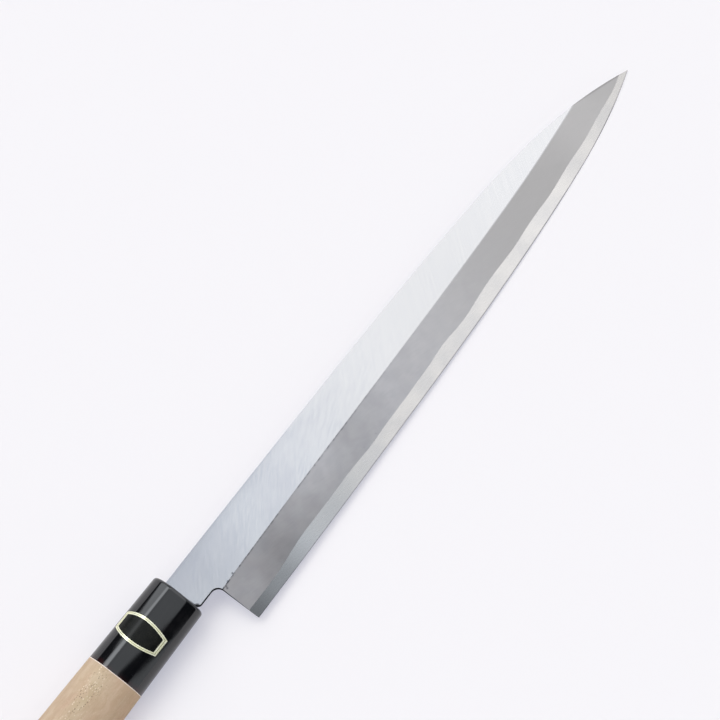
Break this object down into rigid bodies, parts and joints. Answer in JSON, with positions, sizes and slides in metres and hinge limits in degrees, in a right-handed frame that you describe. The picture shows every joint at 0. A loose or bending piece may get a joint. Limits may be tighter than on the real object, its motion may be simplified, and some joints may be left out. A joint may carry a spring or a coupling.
{
  "type": "yanagiba knife",
  "caption": "Long single-bevel slicing knife: an iron and steel blade with a hollow-ground back, its tang bedded in a wooden grip of D section with a horn collar.",
  "frame": {"origin": "centre of the horn collar's front face, on the grip's axis, where the blade leaves the handle", "axes": "+X along the grip's axis out to the blade's tip, +Y towards the spine, +Z out of the bevelled face; the flat back is parallel to XY"},
  "size_m": [0.3784, 0.0388, 0.0206],
  "materials": {
    "blade_iron": "soft iron, the flat face with fine slanted grinding lines, the bevel matte and cloudy",
    "blade_steel": "hard carbon steel, fine satin, brighter than the iron",
    "horn": "polished black horn",
    "magnolia": "bare sanded magnolia, fine straight grain with small pores",
    "resin": "dark wax and resin",
    "label": "black film with a gilt border"
  },
  "bodies": {
    "root": {"blade_iron": "blade_iron", "blade_steel": "blade_steel", "ferrule": "horn", "handle": "magnolia", "tang_bedding": "resin", "label_film": "label"}
  },
  "joints": []
}
